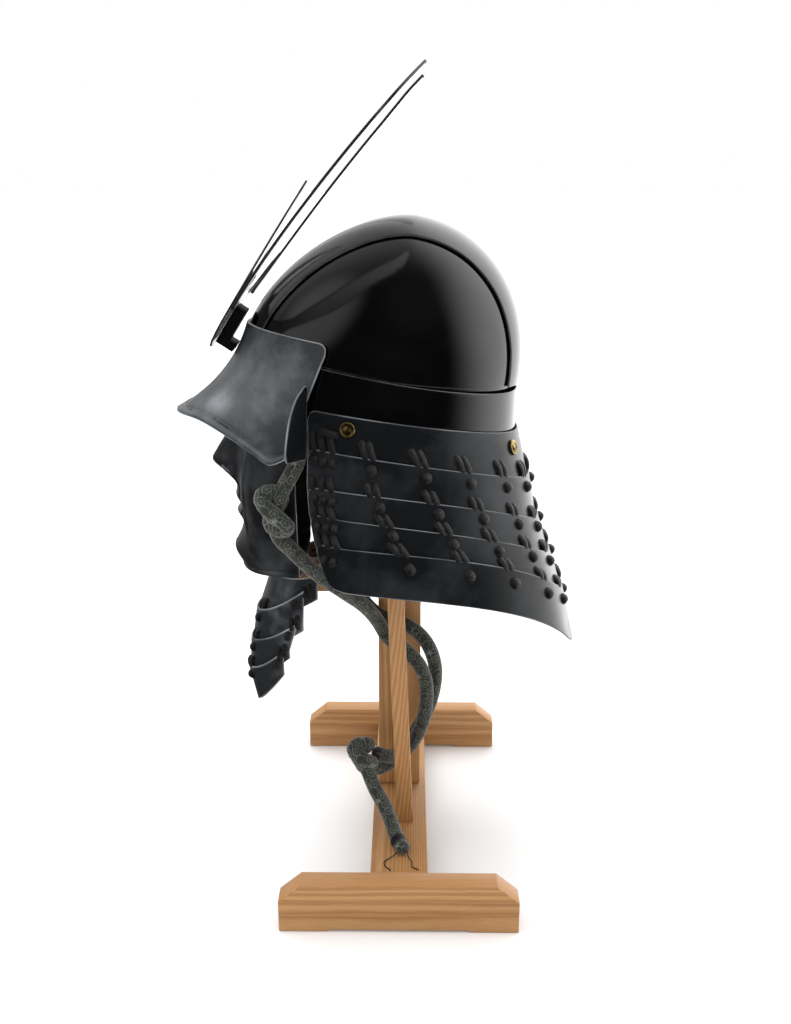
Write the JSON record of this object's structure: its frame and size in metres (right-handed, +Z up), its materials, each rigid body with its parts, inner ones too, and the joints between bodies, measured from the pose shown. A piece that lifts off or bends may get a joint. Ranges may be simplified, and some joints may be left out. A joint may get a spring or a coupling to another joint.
{
  "type": "samurai helmet with face mask on a wooden stand",
  "caption": "Black lacquered samurai helmet with horned crest, laced neck guard, face mask and chin cord, on a plain wooden stand.",
  "frame": {"origin": "on the floor, under the middle of the helmet and stand without the free cord", "axes": "+Z up, -Y the way the helmet looks, +X its left side"},
  "size_m": [0.3486, 0.3756, 0.736],
  "materials": {
    "black_lacquer": "high-gloss black lacquer",
    "worn_lacquer": "satin grey-black lacquer, rubbed at the edges",
    "mask_lacquer": "satin black lacquer",
    "crest_metal": "polished silver-coloured sheet",
    "brass": "aged brass",
    "pine": "plain planed pine",
    "brocade": "padded cord of dark woven brocade"
  },
  "bodies": {
    "root": {"bowl_left": "black_lacquer", "bowl_right": "black_lacquer", "crown_strip": "black_lacquer", "base_band": "black_lacquer", "visor": "worn_lacquer", "neck_lame_1": "black_lacquer", "neck_lame_2": "black_lacquer", "neck_lame_3": "black_lacquer", "neck_lame_4": "black_lacquer", "neck_lame_5": "black_lacquer", "side_wing_left": "black_lacquer", "side_wing_right": "black_lacquer", "eyelet_left_1": "brass", "eyelet_left_2": "brass", "eyelet_right_1": "brass", "eyelet_right_2": "brass", "crest_plate": "crest_metal", "crest_horn_left": "crest_metal", "crest_horn_right": "crest_metal", "crest_blade": "crest_metal", "crest_socket": "black_lacquer", "face_mask": "mask_lacquer", "throat_lame_1": "mask_lacquer", "throat_lame_2": "mask_lacquer", "throat_lame_3": "mask_lacquer", "throat_lame_4": "mask_lacquer", "foot_left": "pine", "foot_right": "pine", "base_board": "pine", "post": "pine", "strut": "pine", "mask_arm": "pine", "head_block": "pine", "cord_left_upper": "brocade", "cord_left": "brocade", "cord_right_upper": "brocade", "cord_right": "brocade", "cord_tail": "brocade", "cheek_knot_left": "brocade", "cheek_knot_right": "brocade", "tie_knot": "brocade"}
  },
  "joints": []
}
